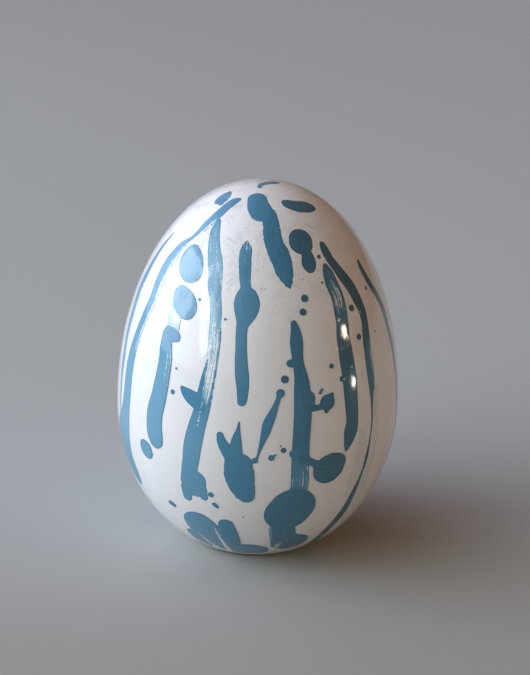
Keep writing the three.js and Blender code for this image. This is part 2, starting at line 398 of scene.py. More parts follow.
def drip(rng, longitude, top, bottom, half_width, load_and_shade):
    """One long stroke of the side away from the front: it wanders, and swells where the brush slowed."""
    count = 6 + int((top - bottom) / 12)
    knot = rng.uniform(0.2, 0.8)
    lean = rng.uniform(-7, 7)
    points = []
    for i in range(count):
        share = i / (count - 1)
        taper = math.sin(math.pi * min(max(share, 0.06), 0.97)) ** 0.3
        bulge = 1 + 0.9 * math.exp(-((share - knot) / 0.09) ** 2)
        width = half_width * taper * bulge * rng.uniform(0.88, 1.12)
        across = longitude + lean * share + rng.uniform(-1, 1)
        dryness = max(0.0, rng.uniform(-0.5, 0.7)) if load_and_shade < 1 else 0.0
        points.append((across, top + (bottom - top) * share, width, load_and_shade, dryness))
    return stroke(*points, dry_side=rng.choice((-1, 1)), ragged=0.05)


def back_marks():
    """The strokes, blobs and drops of the side away from the front, in the front's manner."""
    rng = random.Random(11)
    marks = {}
    starts = [
        (103, 88, 46, 1.9, 1), (121, 79, 18, 2.2, 1), (138, 93, 40, 1.8, 0.85), (152, 66, 30, 2.4, 1),
        (170, 90, 52, 2.1, 0.9), (188, 76, 24, 2.5, 1), (207, 94, 58, 1.7, 1), (221, 63, 22, 2.3, 0.85),
        (239, 86, 38, 2.1, 1)]
    for i, (longitude, top, bottom, half_width, load_and_shade) in enumerate(starts):
        strokes = [drip(rng, longitude, top, bottom, half_width, load_and_shade)]
        if i % 2:
            end, height = longitude + rng.uniform(5, 10), bottom + rng.uniform(10, 22)
            strokes.append(
                stroke((longitude, height, 1.1), (end, height - 2, 1.2), (end + 4, height - 3, 2.8)))
        marks[f"back_stroke_{i + 1}"] = [*strokes]
    petals = []
    for longitude in range(98, 262, 23):
        size = rng.uniform(2.4, 4.6)
        low = rng.uniform(5.5, 8)
        petals.append(stroke((longitude, low + 8, size * 0.6), (longitude + 3, low + 3, size),
                             (longitude + 8, low, size * 0.7)))
    marks["back_petals"] = [*petals]
    return marks


def back_splatter():
    """Loose drops of the side away from the front."""
    rng = random.Random(5)
    drops = []
    for _ in range(34):
        longitude, height = rng.uniform(92, 268), rng.uniform(18, 92)
        drops.append([dot(longitude, height, rng.choice((0.3, 0.5, 0.7, 0.9)))])
    return drops


# The egg's outline, looked up by the distance run along it from the edge of the foot to the crown.


class Meridian:
    """The outside of the egg seen from the side, and the way from it to points on the surface."""

    STEPS = 1500

    def __init__(self, shape):
        self.widest = shape.widest_height
        height = BODY_HIGH.z - BODY_LOW.z
        foot_share = (shape.foot_radius / BODY_HIGH.x) ** shape.lower_fullness
        foot_angle = math.acos(math.sqrt(foot_share))
        lower_reach = self.widest / math.sin(foot_angle)
        lower = self.quarter(-lower_reach, shape.lower_fullness, foot_angle)
        upper = self.quarter(height - self.widest, shape.upper_fullness, math.pi / 2)
        outline = np.vstack([lower[::-1], upper[1:]])
        outline[-1, 0] = 0.0
        self.radius, self.height = outline[:, 0], outline[:, 1] + BODY_LOW.z
        steps = np.hypot(np.diff(self.radius), np.diff(self.height))
        self.run = np.concatenate([[0.0], np.cumsum(steps)])
        self.out = np.gradient(self.height, self.run)
        self.up = -np.gradient(self.radius, self.run)
        self.up[-1], self.out[-1] = 1.0, 0.0

    def quarter(self, reach, fullness, last_angle):
        """One quarter of the outline, from the widest ring up or down."""
        angle = np.linspace(0.0, last_angle, self.STEPS)
        radius = BODY_HIGH.x * np.maximum(np.cos(angle), 0.0) ** (2 / fullness)
        return np.column_stack([radius, self.widest + reach * np.sin(angle)])

    def run_at(self, height):
        return np.interp(height, self.height, self.run)

    def radius_at(self, run):
        return np.interp(run, self.run, self.radius)

    def normals(self, longitude, run):
        out, up = np.interp(run, self.run, self.out), np.interp(run, self.run, self.up)
        return np.column_stack([out * np.sin(longitude), -out * np.cos(longitude), up])

    def surface(self, longitude, run):
        """Points of the surface as rows of x, y and z; longitude 0 faces the front, -Y."""
        radius = self.radius_at(run)
        height = np.interp(run, self.run, self.height)
        return np.column_stack([radius * np.sin(longitude), -radius * np.cos(longitude), height])

    def inset(self, wall, step):
        """The outline moved inwards by the wall, from low to high."""
        runs = np.arange(step, self.run[-1], step)
        radius = self.radius_at(runs) - wall * np.interp(runs, self.run, self.out)
        height = np.interp(runs, self.run, self.height) - wall * np.interp(runs, self.run, self.up)
        return list(zip(radius, height))


SWELLS_ACROSS, SWELLS_UP = 230, 80  # to the metre
FINE_SWELL, FINE_SHARE = 2.7, 0.4


def swells(points, depth):
    """How far the hand-brushed ground stands proud or shy at each point."""
    lifts = []
    for x, y, z in points:
        at = Vector((x * SWELLS_ACROSS, y * SWELLS_ACROSS, z * SWELLS_UP))
        lifts.append(depth * (noise.noise(at) + FINE_SHARE * noise.noise(at * FINE_SWELL)))
    return np.array(lifts)


# Strokes as strings of tapering beads on the surface.


def smooth_string(knots, step):
    """A curve through the knots' rows (Catmull-Rom), with its points about one step apart."""
    ends = np.vstack([2 * knots[0] - knots[1], knots, 2 * knots[-1] - knots[-2]])
    strings = []
    for before, start, end, after in zip(ends, ends[1:], ends[2:], ends[3:]):
        count = max(1, math.ceil(np.linalg.norm((end - start)[:3]) / step))
        share = np.linspace(0.0, 1.0, count, endpoint=False)[:, None]
        strings.append(
            start + 0.5 * (end - before) * share
            + 0.5 * (2 * before - 5 * start + 4 * end - after) * share ** 2
            + 0.5 * (3 * start - before - 3 * end + after) * share ** 3)
    return np.vstack([*strings, knots[-1:]])


class Path:
    """A stroke laid on the egg, which says how deep inside it any point is."""

    STEP = 0.9 * MM
    LEAST_WIDTH = 0.02 * MM
    RAGGED_GRAIN = 1400  # to the metre

    def __init__(self, meridian, mark, seed):
        table = np.array(mark.points, float)
        places = meridian.surface(np.radians(table[:, 0]), meridian.run_at(table[:, 1] * MM))
        string = smooth_string(np.column_stack([places, table[:, 2] * MM, table[:, 3:]]), self.STEP)
        string[:, 3] = np.maximum(string[:, 3], self.LEAST_WIDTH)
        self.place, self.facts = string[:, :3], string[:, 3:]
        steps = np.linalg.norm(np.diff(self.place, axis=0), axis=1)
        self.along = np.concatenate([[0.0], np.cumsum(steps)])
        self.seed, self.dry_side, self.ragged = seed, mark.dry_side, mark.ragged * MM

    def measure(self, points, normals):
        """For each point: depth inside, then across, along, half-width, load and dryness there."""
        depth = np.full(len(points), -1.0)
        rows = np.zeros((len(points), 5))
        for i, (start, end) in enumerate(zip(self.place, self.place[1:])):
            way = end - start
            offset = points - start
            share = np.clip(offset @ way / max(way @ way, 1e-12), 0.0, 1.0)
            gap = offset - share[:, None] * way
            facts = self.facts[i] + share[:, None] * (self.facts[i + 1] - self.facts[i])
            inside = facts[:, 0] - np.linalg.norm(gap, axis=1)
            sideways = np.cross(normals, way / max(np.linalg.norm(way), 1e-9))
            across = np.einsum("ij,ij->i", gap, sideways)
            along = self.along[i] + share * (self.along[i + 1] - self.along[i])
            nearer = inside > depth
            depth[nearer] = inside[nearer]
            rows[nearer] = np.column_stack([across, along, facts])[nearer]
        if self.ragged:
            grain = [noise.noise(Vector(point) * self.RAGGED_GRAIN) for point in points]
            depth += self.ragged * np.array(grain)
        return depth, rows


def soft_max(a, b, radius):
    """The greater of two depths, filleted where they are alike."""
    share = np.clip(0.5 + 0.5 * (a - b) / radius, 0.0, 1.0)
    return b + (a - b) * share + radius * share * (1 - share)


def smooth_rise(values, low, high):
    share = np.clip((values - low) / (high - low), 0.0, 1.0)
    return share * share * (3 - 2 * share)


class Layer:
    """The strokes of one film of paint together."""

    FOOT_MARGIN = 0.7 * MM
    DRY_FROM, DRY_TO = -0.5, 0.7  # across a stroke that is dry on one side, in half-widths

    def __init__(self, meridian, marks, join_radius):
        self.meridian, self.join_radius = meridian, join_radius
        self.paths = [Path(meridian, mark, seed) for seed, mark in enumerate(marks)]

    def measure(self, longitude, run):
        """Depth inside the paint, the brush's across, along and seed, and the paint's load and dryness."""
        points = self.meridian.surface(longitude, run)
        normals = self.meridian.normals(longitude, run)
        whole = np.full(len(points), -1.0)
        facts = np.zeros((len(points), 5))
        for path in self.paths:
            depth, rows = path.measure(points, normals)
            across, along, half_width, load_and_shade, dryness = rows.T
            reach = across * path.dry_side / half_width if path.dry_side else np.ones(len(points))
            dryness = dryness * smooth_rise(reach, self.DRY_FROM, self.DRY_TO)
            top = (depth > 0) | (depth > whole)
            seeds = np.full(len(points), path.seed)
            facts[top] = np.column_stack([across, along, seeds, load_and_shade, dryness])[top]
            whole = soft_max(whole, depth, self.join_radius)
        return np.minimum(whole, run - self.FOOT_MARGIN), facts


class Chart:
    """Flattens the surface round some strokes: polar round the crown, longitude by run elsewhere."""

    MARGIN = 1.2 * MM
    CROWN_SHARE = 0.9  # of the outline's run
    LEAST_RADIUS = 3 * MM

    def __init__(self, layer):
        self.meridian = layer.meridian
        places = np.vstack([path.place for path in layer.paths])
        widths = np.concatenate([path.facts[:, 0] for path in layer.paths])
        runs = self.meridian.run_at(places[:, 2])
        self.polar = runs.mean() > self.CROWN_SHARE * self.meridian.run[-1]
        radius = self.meridian.radius_at(runs)
        self.radius = radius.mean()
        self.centre = math.atan2(places[:, 0].mean(), -places[:, 1].mean())
        flat = self.flatten(np.arctan2(places[:, 0], -places[:, 1]), runs)
        spread = np.ones(len(runs)) if self.polar else self.radius / np.maximum(radius, self.LEAST_RADIUS)
        reach = np.column_stack([(widths + self.MARGIN) * spread, widths + self.MARGIN])
        self.low, self.high = (flat - reach).min(0), (flat + reach).max(0)

    def flatten(self, longitude, run):
        if self.polar:
            away = self.meridian.run[-1] - run
            return np.column_stack([away * np.sin(longitude), -away * np.cos(longitude)])
        turn = (longitude - self.centre + math.pi) % math.tau - math.pi
        return np.column_stack([turn * self.radius, run])

    def unflatten(self, flat):
        if self.polar:
            away = np.hypot(flat[:, 0], flat[:, 1])
            return np.arctan2(flat[:, 0], -flat[:, 1]), self.meridian.run[-1] - away
        return self.centre + flat[:, 0] / self.radius, flat[:, 1]


# Meshes.


def coordinates(bm):
    return np.array([vertex.co for vertex in bm.verts], float).reshape(-1, 3)


FAR_OUTSIDE, SNAP = -3, 0.02  # in grid steps
EDGE_THICKNESS = 0.35  # of the full thickness


def cut_film(layer, step):
    """A flat grid over the strokes, cut along their outline, with each vertex's depth as its height."""
    chart = Chart(layer)
    middle, half = (chart.low + chart.high) / 2, (chart.high - chart.low) / 2
    bm = bmesh.new()
    place = Matrix.Translation((*middle, 0)) @ Matrix.Diagonal((*half, 1, 1))
    counts = [max(4, int(math.ceil(2 * size / step))) for size in half]
    bmesh.ops.create_grid(bm, x_segments=counts[0], y_segments=counts[1], size=1, matrix=place)
    depth, _ = layer.measure(*chart.unflatten(coordinates(bm)[:, :2]))
    for vertex, value in zip(bm.verts, depth):
        vertex.co.z = value
    outside = [vertex for vertex in bm.verts if vertex.co.z < FAR_OUTSIDE * step]
    bmesh.ops.delete(bm, geom=outside, context="VERTS")
    everything = [*bm.verts, *bm.edges, *bm.faces]
    bmesh.ops.bisect_plane(
        bm, geom=everything, dist=SNAP * step, plane_co=(0, 0, 0), plane_no=(0, 0, 1), clear_inner=True)
    return bm, chart


def lay_film(bm, chart, layer, shape, look):
    """Lays the cut grid on the egg, a rounded thickness proud of it; film_piece gives it a closed skirt."""
    flat = coordinates(bm)
    longitude, run = chart.unflatten(flat[:, :2])
    edge = np.maximum(flat[:, 2], 0.0)
    _, facts = layer.measure(longitude, run)
    points = layer.meridian.surface(longitude, run)
    body = 1 - np.exp(-edge / look.rim_width)
    build_up = EDGE_THICKNESS + (1 - EDGE_THICKNESS) * body * facts[:, 3]
    lift = look.thickness * build_up + swells(points, shape.waviness)
    points = points + lift[:, None] * layer.meridian.normals(longitude, run)
    brush = bm.verts.layers.float_vector.new("brush")
    coat = bm.verts.layers.float_vector.new("coat")
    for vertex, point, depth, row in zip(bm.verts, points, edge, facts):
        vertex.co = point
        vertex[brush] = row[:3]
        vertex[coat] = (depth, *row[3:])
    bmesh.ops.recalc_face_normals(bm, faces=bm.faces)
    for edge in bm.edges:
        edge.smooth = not edge.is_boundary
    for face in bm.faces:
        face.smooth = True


def film_piece(name, films, shape, look, step):
    """One piece of brushwork from its films of paint."""
    meridian = Meridian(shape)
    whole = bmesh.new()
    for marks in films:
        layer = Layer(meridian, marks, look.join_radius)
        bm, chart = cut_film(layer, step)
        lay_film(bm, chart, layer, shape, look)
        part = bpy.data.meshes.new("part")
        bm.to_mesh(part)
        bm.free()
        whole.from_mesh(part)
        bpy.data.meshes.remove(part)
    piece = add_piece(name, whole)
    skirt = piece.modifiers.new("Skirt", "SOLIDIFY")
    skirt.thickness = look.skirt
    skirt.offset = -1
    return piece


FILLET_STEPS = 5


def rounded(corners):
    """An outline through (radius, height, fillet) corners, each rounded by its fillet."""
    places = [Vector(corner[:2]) for corner in corners]
    outline = []
    for i, (place, corner) in enumerate(zip(places, corners)):
        fillet = corner[2] if len(corner) > 2 else 0
        if not fillet:
            outline.append(tuple(place))
            continue
        before = place + (places[i - 1] - place).normalized() * fillet
        after = place + (places[(i + 1) % len(places)] - place).normalized() * fillet
        for step in range(FILLET_STEPS + 1):
            share = step / FILLET_STEPS
            outline.append(tuple(before.lerp(place, share).lerp(place.lerp(after, share), share)))
    return outline


WELD = 0.001 * MM


def spin_outline(outline, steps, closed=False):
    """Turns an outline of (radius, height) points about the axis into a closed shell."""
    bm = bmesh.new()
    verts = [bm.verts.new((0, -radius, height)) for radius, height in outline]
    pairs = list(zip(verts, verts[1:])) + ([(verts[-1], verts[0])] if closed else [])
    edges = [bm.edges.new(pair) for pair in pairs]
    bmesh.ops.spin(
        bm, geom=[*verts, *edges], cent=(0, 0, 0), axis=(0, 0, 1), angle=math.tau, steps=steps,
        use_merge=True)
    bmesh.ops.remove_doubles(bm, verts=bm.verts, dist=WELD)
    bmesh.ops.recalc_face_normals(bm, faces=bm.faces)
    for face in bm.faces:
        face.smooth = True
    return bm


def add_piece(name, bm):
    """Turns a bmesh into a finished piece that rides on the object."""
    mesh = bpy.data.meshes.new(name)
    bm.to_mesh(mesh)
    bm.free()
    piece = bpy.data.objects.new(name, mesh)
    bpy.context.scene.collection.objects.link(piece)
    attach(piece, "root")
    return piece


GLAZE_DEPTH = 0.4 * MM
CALM_FOOT = (0.5 * MM, 3 * MM)  # the swells grow between these distances from the foot's edge


def ceramic_shell(shape):
    """The hollow egg with its rounded foot, recess and vent, and the ground's soft swells outside."""
    meridian = Meridian(shape)
    fillet = shape.edge_fillet
    foot, recess = BODY_LOW.z, BODY_LOW.z + shape.recess_depth
    floor = BODY_LOW.z + shape.floor_thickness
    runs = np.arange(meridian.run[-1], 2 * fillet, -shape.row_step)
    outside = [(meridian.radius_at(run), np.interp(run, meridian.run, meridian.height)) for run in runs]
    outside[0] = (0.0, BODY_HIGH.z)
    cavity = [point for point in meridian.inset(shape.wall, 3 * shape.row_step) if point[1] > floor]
    cavity = [point for point in cavity if point[0] > 0]
    corner = np.interp(floor, [point[1] for point in cavity], [point[0] for point in cavity])
    underside = rounded([
        outside[-1],
        (shape.foot_radius, foot, fillet),
        (shape.recess_radius, foot, fillet),
        (shape.recess_radius, recess, fillet),
        (shape.vent_radius, recess, fillet),
        (shape.vent_radius, floor, fillet),
        (corner, floor, 2 * fillet),
        cavity[1]])
    outline = [*outside, *underside[1:], *cavity[2:], (0.0, BODY_HIGH.z - shape.wall)]
    bm = spin_outline(outline, shape.turn_steps)
    places = coordinates(bm)
    radius = np.hypot(places[:, 0], places[:, 1])
    surface_radius = np.interp(places[:, 2], meridian.height, meridian.radius)
    glazed = radius > surface_radius - GLAZE_DEPTH
    longitude, run = np.arctan2(places[:, 0], -places[:, 1]), meridian.run_at(places[:, 2])
    lifts = swells(places, shape.waviness) * smooth_rise(run, *CALM_FOOT) * glazed
    moved = places + lifts[:, None] * meridian.normals(longitude, run)
    glaze = bm.verts.layers.float.new("glaze")
    for vertex, place, outer in zip(bm.verts, moved, glazed):
        vertex.co = place
        vertex[glaze] = float(outer)
    return bm


def stopper_shell(shape):
    """The soft bung: a dished flange, a neck and a tapered lip, with its edges rounded."""
    low, high = STOPPER_LOW.z, STOPPER_HIGH.z
    flange = STOPPER_HIGH.x
    flange_top, lip_bottom = low + 1.1 * MM, high - 2.4 * MM
    neck, lip = shape.vent_radius - 0.3 * MM, shape.vent_radius + 0.8 * MM
    tip = shape.vent_radius - 1.1 * MM
    dish = low + 0.25 * MM
    outline = rounded([
        (0, dish),
        (0.32 * flange, dish, 0.5 * MM),
        (0.4 * flange, low, 0.3 * MM),
        (flange, low, 0.4 * MM),
        (flange, flange_top, 0.4 * MM),
        (neck, flange_top, 0.25 * MM),
        (neck, lip_bottom, 0.25 * MM),
        (lip, lip_bottom, 0.35 * MM),
        (tip, high, 0.8 * MM),
        (0, high)])
    return spin_outline(outline, 160)


TUFTS, FIBRES = 1900, 5200  # to the metre
PIT_DEPTH = 0.05 * MM


def felt_shell():
    """The felt ring with soft edges and the small pits and tufts of its pressed fibres."""
    inner, outer = STOPPER_HIGH.x + 0.6 * MM, FELT_HIGH.x
    low, high = FELT_LOW.z, FELT_HIGH.z
    edge = 0.45 * MM
    rows = np.linspace(inner + edge, outer - edge, 14)
    outline = rounded([(outer, low, edge), (outer, high, edge), (inner, high, edge), (inner, low, edge)])
    top = [(row, low) for row in rows[1:-1]]
    bm = spin_outline([*outline, *top], 260, closed=True)
    bmesh.ops.smooth_vert(bm, verts=bm.verts, factor=0.3, use_axis_x=True, use_axis_y=True, use_axis_z=True)
    bm.normal_update()
    for vertex in bm.verts:
        tuft = noise.noise(vertex.co * TUFTS) + 0.5 * noise.noise(vertex.co * FIBRES)
        vertex.co -= vertex.normal * PIT_DEPTH * (1 + tuft)
    return bm


# Materials. A Wire is a shader output that Python arithmetic works on.


def arithmetic(operation, swapped=False):
    """A method that adds one Math node; swapped is for the forms with a plain number in front."""
    def method(wire, *others):
        values = (wire, *others)
        return wire.math(operation, *(reversed(values) if swapped else values))
    return method


class Wire:
    """One output of a node; each operation on it adds a node."""

    def __init__(self, graph, socket):
        self.graph = graph
        self.socket = socket

    def math(self, operation, *values):
        return self.graph.node("Math", dict(enumerate(values)), operation=operation)

    __add__, __radd__ = arithmetic("ADD"), arithmetic("ADD", swapped=True)
    __sub__, __rsub__ = arithmetic("SUBTRACT"), arithmetic("SUBTRACT", swapped=True)
    __mul__, __rmul__ = arithmetic("MULTIPLY"), arithmetic("MULTIPLY", swapped=True)
    __pow__, __abs__ = arithmetic("POWER"), arithmetic("ABSOLUTE")

    def clamp(self):
        return self.graph.node("Clamp", {0: self})

    def rise(self, low, high):
        """Smoothly from 0 to 1 as this goes from low to high."""
        return self.graph.node("MapRange", {0: self, 1: low, 2: high}, interpolation_type="SMOOTHSTEP")


class Graph:
    """The nodes of a material or of the world."""

    def __init__(self, owner):
        self.owner = owner
        owner.use_nodes = True
        self.tree = owner.node_tree
        self.tree.nodes.clear()

    def node(self, kind, sockets=None, output=0, **settings):
        """Adds a node: its settings first, then a value or a wire for each socket named."""
        node = self.tree.nodes.new("ShaderNode" + kind)
        for name, value in settings.items():
            setattr(node, name, value)
        for name, value in (sockets or {}).items():
            if isinstance(value, Wire):
                self.tree.links.new(value.socket, node.inputs[name])
            else:
                node.inputs[name].default_value = value
        return Wire(self, node.outputs[output])

    def attribute(self, name, output="Vector"):
        return self.node("Attribute", output=output, attribute_name=name)

    def place(self):
        """Object coordinates, in metres."""
        return self.node("TexCoord", output="Object")

    def split(self, vector):
        return [self.node("SeparateXYZ", {0: vector}, output=axis) for axis in range(3)]

    def vector(self, x, y, z):
        return self.node("CombineXYZ", {0: x, 1: y, 2: z})

    def vectors(self, operation, *values, output=0, **sockets):
        inputs = {**dict(enumerate(values)), **sockets}
        return self.node("VectorMath", inputs, output=output, operation=operation)

    def noise(self, vector, detail=2.0, **sockets):
        return self.node("TexNoise", {"Vector": vector, "Scale": 1.0, "Detail": detail, **sockets})

    def grain(self, scale, detail=2.0, **sockets):
        """Noise over the piece, with a scale to the metre along x, y and z."""
        return self.noise(self.vectors("MULTIPLY", self.place(), scale), detail, **sockets)

    def mix(self, share, first, second, blend="MIX"):
        sockets = {0: share, 6: first, 7: second}
        return self.node("Mix", sockets, output=2, data_type="RGBA", blend_type=blend)

    def toned(self, tint, tone):
        """A colour made lighter or darker by a tone that varies."""
        return self.mix(1.0, tint, self.vector(tone, tone, tone), blend="MULTIPLY")

    def bump(self, height, distance):
        return self.node("Bump", {"Height": height, "Distance": distance})

    def output(self, shader, kind):
        target = self.tree.nodes.new("ShaderNodeOutput" + kind)
        self.tree.links.new(shader.socket, target.inputs["Surface"])

    def finish(self, piece, sockets):
        """Feeds the surface shader and puts the material on a piece."""
        self.output(self.node("BsdfPrincipled", sockets), "Material")
        piece.data.materials.append(self.owner)


def rgba(colour_property):
    return (*colour_property, 1.0)


def ground_streaks(graph):
    """The fine upright marks that the brush left in the white ground, 0 to 1."""
    return graph.grain((1500, 1500, 55), detail=3, Roughness=0.6)


def crown_ridges(graph):
    """Thin curved ridges that the brush left over the egg's upper half, 1 along each ridge, also darkened as
    painted shade.
    """
    place = graph.place()
    wobble = graph.node("TexNoise", {"Vector": place, "Scale": 140, "Detail": 1}, output="Color")
    bent = graph.vectors("ADD", place, graph.vectors("MULTIPLY", wobble, (0.012, 0.012, 0.012)))
    cell = {"Vector": bent, "Scale": 130.0, "Randomness": 1.0}
    centre = graph.node("TexVoronoi", cell, output="Position")
    tint = graph.node("TexVoronoi", cell, output="Color")
    angle = graph.split(tint)[0] * math.tau
    outward = graph.vectors("NORMALIZE", graph.vectors("SUBTRACT", place, (0, 0, 0.045)))
    local = graph.vectors("SUBTRACT", bent, centre)
    turned = graph.node("VectorRotate", {"Vector": local, "Axis": outward, "Angle": angle})
    east = graph.vectors("NORMALIZE", graph.vectors("CROSS_PRODUCT", (0, 0, 1), outward))
    north = graph.vectors("CROSS_PRODUCT", outward, east)
    sideways = graph.vectors("DOT_PRODUCT", turned, east, output="Value")
    onward = graph.vectors("DOT_PRODUCT", turned, north, output="Value")
    arc = sideways + onward * onward * 70
    lines = graph.noise(graph.vector(arc * 1500, onward * 130, angle * 3), detail=2)
    ridges = 1 - (abs(lines - 0.5) * 2).rise(0.0, 0.1)
    patches = graph.grain((260, 260, 260), detail=1).rise(0.42, 0.58)
    return ridges * patches * graph.split(place)[2].rise(0.055, 0.09)


CLEAR_GLAZE = {"Coat Roughness": 0.03, "IOR": 1.5}
COAT_WEIGHT = 0.35
GLAZE_RELIEF = 0.035 * MM


def glaze_material(piece, look):
    """White brushed ground under clear glaze outside, and bare clay inside."""
    graph = Graph(bpy.data.materials.new("painted_glaze"))
    glazed = graph.attribute("glaze", output="Fac")
    streaks = ground_streaks(graph)
    ridges = crown_ridges(graph)
    clouds = graph.grain((90, 90, 60))
    speck_cell = {"Vector": graph.place(), "Scale": 210.0}
    speck_size = graph.node("TexVoronoi", speck_cell, output="Distance")
    speck_pick = graph.split(graph.node("TexVoronoi", speck_cell, output="Color"))[0]
    specks = (1 - speck_size.rise(0.015, 0.05)) * speck_pick.rise(0.93, 0.94)
    # The ground is darkened along the crown's ridges as painted shade; the streaks, clouds and specks are
    # its own tone.
    tone = 0.935 + streaks * 0.09 + clouds * 0.045 - ridges * 0.09 - specks * 0.3
    white = graph.toned(rgba(look.ground_white), tone)
    clay = graph.mix(clouds, rgba(look.bare_clay), (0.70, 0.66, 0.60, 1))
    relief = streaks * 0.55 + clouds * 0.8 - ridges * 1.3
    relief = graph.node("Mix", {0: glazed, 2: graph.grain((900, 900, 900)), 3: relief}, data_type="FLOAT")
    graph.finish(piece, {
        "Base Color": graph.mix(glazed, clay, white),
        "Roughness": (1 - glazed) * 0.78 + 0.06 + streaks * 0.04,
        "Coat Weight": glazed * COAT_WEIGHT,
        "Normal": graph.bump(relief, GLAZE_RELIEF),
        **CLEAR_GLAZE})


def paint_material(piece, look):
    """Blue paint laid by a bristle brush: streaked, darker at its rim, broken where the brush ran dry."""
    graph = Graph(bpy.data.materials.new("blue_brushwork"))
    across, along, seed = graph.split(graph.attribute("brush"))
    edge, load_and_shade, dryness = graph.split(graph.attribute("coat"))
    hairs = graph.noise(graph.vector(across * 2900, along * 75, seed * 9.7), detail=3, Roughness=0.6)
    broad = graph.noise(graph.vector(across * 800, along * 60, seed * 5.1 + 3))
    flecks = graph.grain((1900, 1900, 1300))
    ridges = crown_ridges(graph)
    rim = (1 - (edge + (flecks - 0.5) * 0.00008).rise(0.00006, 0.00034)) * load_and_shade.rise(0.35, 0.8)
    worn = hairs * 0.75 + flecks * 0.25
    bare = dryness.rise(0.0, 0.12) * 0.24 + dryness * 0.36
    cover = worn.rise(bare - 0.05, bare + 0.05)
    paint = load_and_shade * (0.79 + hairs * 0.26 + broad * 0.16)
    paint = paint + (1 - paint).clamp() * rim * 0.75
    amount = (paint * cover).clamp()
    covered = load_and_shade.math("MINIMUM", load_and_shade, 1)
    # This tone also holds painted light and shade: a thinner load pales the paint, as painted light on the
    # left strokes, and the crown's ridges darken it as painted shade.
    shade = 1.07 - covered * 0.45 + hairs * 0.4 + broad * 0.4 - rim * 0.2 - ridges * 0.14
    # Loads above 1 turn the paint towards slate blue: painted shade on the strokes of the right side.
    full = graph.mix(((load_and_shade - 1) * 2).clamp(), rgba(look.deep_blue), rgba(look.shaded_slate_blue))
    thin_blue = [math.sqrt(ground * blue) for ground, blue in zip(look.ground_white, look.deep_blue)]
    wash = graph.mix((amount * 2).clamp(), rgba(look.ground_white), rgba(thin_blue))
    relief = hairs * amount * 0.4 + broad * 0.25 - ridges * 1.2
    graph.finish(piece, {
        "Base Color": graph.mix((amount * 2 - 1).clamp(), wash, graph.toned(full, shade)),
        "Roughness": 0.06 + hairs * 0.04,
        "Coat Weight": COAT_WEIGHT,
        "Normal": graph.bump(relief, GLAZE_RELIEF),
        **CLEAR_GLAZE})


def rubber_material(piece):
    """Soft off-white rubber with a faint moulded grain and dust."""
    graph = Graph(bpy.data.materials.new("stopper_rubber"))
    dust = graph.grain((260, 260, 260), detail=3)
    graph.finish(piece, {
        "Base Color": graph.mix(dust.rise(0.35, 0.75), (0.60, 0.57, 0.50, 1), (0.50, 0.47, 0.41, 1)),
        "Roughness": 0.5 + dust * 0.2,
        "Subsurface Weight": 0.15,
        "Subsurface Scale": 0.001,
        "Normal": graph.bump(graph.grain((2400, 2400, 2400), detail=3), 0.00003)})


def felt_material(piece):
    """Grey pressed wool with lighter and darker fibres."""
    graph = Graph(bpy.data.materials.new("felt"))
    fibres = graph.grain((3200, 3200, 1400), detail=4, Distortion=1.6)
    tufts = graph.grain((700, 700, 700), detail=3)
    shade = (fibres * 0.7 + tufts * 0.3).rise(0.35, 0.65)
    graph.finish(piece, {
        "Base Color": graph.mix(shade, (0.10, 0.11, 0.12, 1), (0.25, 0.26, 0.27, 1)),
        "Roughness": 0.95,
        "Sheen Weight": 0.3,
        "Normal": graph.bump(fibres + tufts, 0.00012)})


def floor_material(piece, studio):
    """A matt pale grey floor with a faint tooth, a little warmer and darker in front as painted shade,
    lighter behind as painted light.
    """
    graph = Graph(bpy.data.materials.new("studio_floor"))
    tooth = graph.grain((900, 900, 900))
    # Painted light and shade: the colour lightens from the near floor to the far floor.
    far = graph.split(graph.place())[1].rise(-0.1, 0.06)
    grey = graph.mix(far, rgba(studio.shaded_floor_near), rgba(studio.lit_floor_far))
    graph.finish(piece, {
        "Base Color": graph.toned(grey, 0.97 + tooth * 0.06),
        "Roughness": 0.9,
        "Specular IOR Level": 0.2})


# The studio.


def toward(azimuth, elevation):
    """The direction at an azimuth from the front, -Y, towards +X, and an elevation, in degrees."""
    turn, rise = math.radians(azimuth), math.radians(elevation)
    return Vector((math.sin(turn) * math.cos(rise), -math.cos(turn) * math.cos(rise), math.sin(rise)))


def softbox(name, azimuth, elevation, distance, size, lean, radiance, tint):
    """A rectangular light that faces the egg's middle; lean turns it about its own axis."""
    lamp = bpy.data.lights.new(name, "AREA")
    lamp.shape = "RECTANGLE"
    lamp.size, lamp.size_y = size
    lamp.energy = radiance * math.pi * size[0] * size[1]
    lamp.color = tint
    light = bpy.data.objects.new(name, lamp)
    bpy.context.scene.collection.objects.link(light)
    middle = Vector((0, 0, CAD_HIGH.z / 2))
    back = toward(azimuth, elevation)
    turn = Matrix.Rotation(math.radians(lean), 3, back)
    facing = back.to_track_quat("Z", "Y").to_matrix()
    light.matrix_world = Matrix.Translation(middle + back * distance) @ (turn @ facing).to_4x4()


def add_lights(studio):
    """Two panes of a cool window on the left, and two small warm lamps on the right."""
    window, lamps, daylight = studio.window_radiance, studio.lamp_radiance, (0.76, 0.89, 1.0)
    softbox("window_side", -88.6, 23, 1.2, (0.76, 0.57), 5, window, daylight)
    softbox("window_slant", -52.5, 25, 1.2, (0.30, 0.84), 30, window, daylight)
    softbox("lamp_high", 79.2, 8.6, 0.9, (0.055, 0.060), 0, lamps, (1.0, 0.83, 0.58))
    softbox("lamp_low", 80, -6, 0.38, (0.020, 0.016), 0, lamps * 0.7, (1.0, 0.94, 0.84))


def room_glow(graph, direction, azimuth, elevation, tint):
    """Soft light that is strongest from one side of the room."""
    facing = graph.vectors("DOT_PRODUCT", direction, tuple(toward(azimuth, elevation)), output="Value")
    glow = facing.math("MAXIMUM", facing, 0) ** 3
    return graph.vectors("SCALE", tint, Scale=glow)


